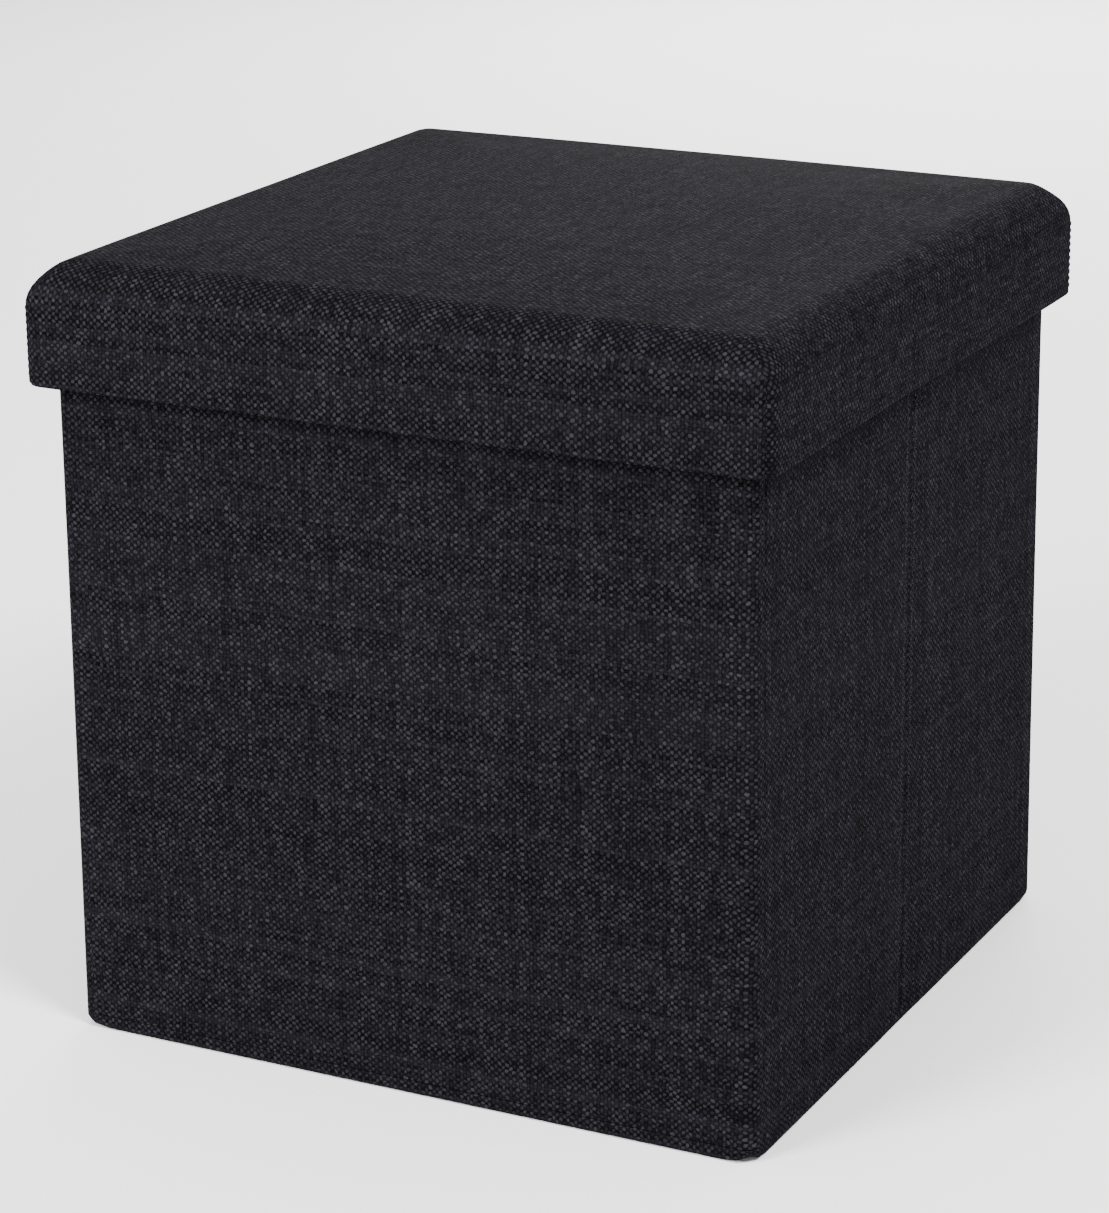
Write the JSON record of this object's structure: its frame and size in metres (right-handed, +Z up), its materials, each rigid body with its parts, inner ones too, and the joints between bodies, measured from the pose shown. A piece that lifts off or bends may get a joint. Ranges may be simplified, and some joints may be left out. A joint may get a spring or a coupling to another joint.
{
  "type": "storage ottoman",
  "caption": "Square fabric storage ottoman with a padded lift-off lid over a box whose side walls fold inwards at a middle crease.",
  "frame": {"origin": "middle of the underside, on the floor", "axes": "+Z up; the front wall faces -Y; the folding side walls face +X and -X"},
  "size_m": [0.38, 0.38, 0.384],
  "materials": {
    "woven_fabric": "dark charcoal linen-look plain weave, matt",
    "lining": "thin black non-woven cloth",
    "panel_board": "raw fibreboard",
    "foam": "open-cell seat foam",
    "ribbon": "ribbed grosgrain tape"
  },
  "bodies": {
    "back_wall": {"back_cover": "woven_fabric", "back_board": "panel_board", "back_lining": "lining", "bottom_cloth": "lining", "bottom_hem": "woven_fabric", "base_board": "panel_board", "base_lining": "lining", "pull_ribbon": "ribbon", "right_rear_corner_hinge": "woven_fabric", "left_rear_corner_hinge": "woven_fabric"},
    "right_rear_half": {"right_rear_half_cover": "woven_fabric", "right_rear_half_board": "panel_board", "right_rear_half_lining": "lining", "right_crease_hinge": "woven_fabric"},
    "right_front_half": {"right_front_half_cover": "woven_fabric", "right_front_half_board": "panel_board", "right_front_half_lining": "lining"},
    "front_wall": {"front_cover": "woven_fabric", "front_board": "panel_board", "front_lining": "lining", "right_front_corner_hinge": "woven_fabric", "left_front_corner_hinge": "woven_fabric"},
    "left_rear_half": {"left_rear_half_cover": "woven_fabric", "left_rear_half_board": "panel_board", "left_rear_half_lining": "lining", "left_crease_hinge": "woven_fabric"},
    "left_front_half": {"left_front_half_cover": "woven_fabric", "left_front_half_board": "panel_board", "left_front_half_lining": "lining"},
    "lid": {"lid_board": "panel_board", "lid_foam": "foam", "lid_cover": "woven_fabric", "lid_rim_front": "panel_board", "lid_rim_back": "panel_board", "lid_rim_left": "panel_board", "lid_rim_right": "panel_board", "lid_lining": "lining"}
  },
  "joints": [
    {"name": "lid_lift", "type": "slide", "parent": "back_wall", "child": "lid", "axis": [0, 0, 1], "range_m": [0, 0.42]},
    {"name": "right_rear_fold", "type": "hinge", "parent": "back_wall", "child": "right_rear_half", "pos_m": [0.173, 0.173, 0], "axis": [0, 0, -1], "range_deg": [0, 84], "deforming": ["right_rear_corner_hinge"]},
    {"name": "right_crease_fold", "type": "hinge", "parent": "right_rear_half", "child": "right_front_half", "pos_m": [0.179, 0, 0], "axis": [0, 0, 1], "range_deg": [0, 168], "deforming": ["right_crease_hinge"]},
    {"name": "front_corner_fold", "type": "hinge", "parent": "right_front_half", "child": "front_wall", "pos_m": [0.173, -0.173, 0], "axis": [0, 0, -1], "range_deg": [0, 84], "deforming": ["right_front_corner_hinge", "left_front_corner_hinge"]},
    {"name": "left_rear_fold", "type": "hinge", "parent": "back_wall", "child": "left_rear_half", "pos_m": [-0.173, 0.173, 0], "axis": [0, 0, 1], "range_deg": [0, 84], "deforming": ["left_rear_corner_hinge"]},
    {"name": "left_crease_fold", "type": "hinge", "parent": "left_rear_half", "child": "left_front_half", "pos_m": [-0.179, 0, 0], "axis": [0, 0, -1], "range_deg": [0, 168], "deforming": ["left_crease_hinge"]}
  ],
  "couplings": [
    {"joint": "right_crease_fold", "follows": "right_rear_fold", "ratio": 2},
    {"joint": "front_corner_fold", "follows": "right_rear_fold", "ratio": 1},
    {"joint": "left_rear_fold", "follows": "right_rear_fold", "ratio": 1},
    {"joint": "left_crease_fold", "follows": "right_rear_fold", "ratio": 2}
  ]
}
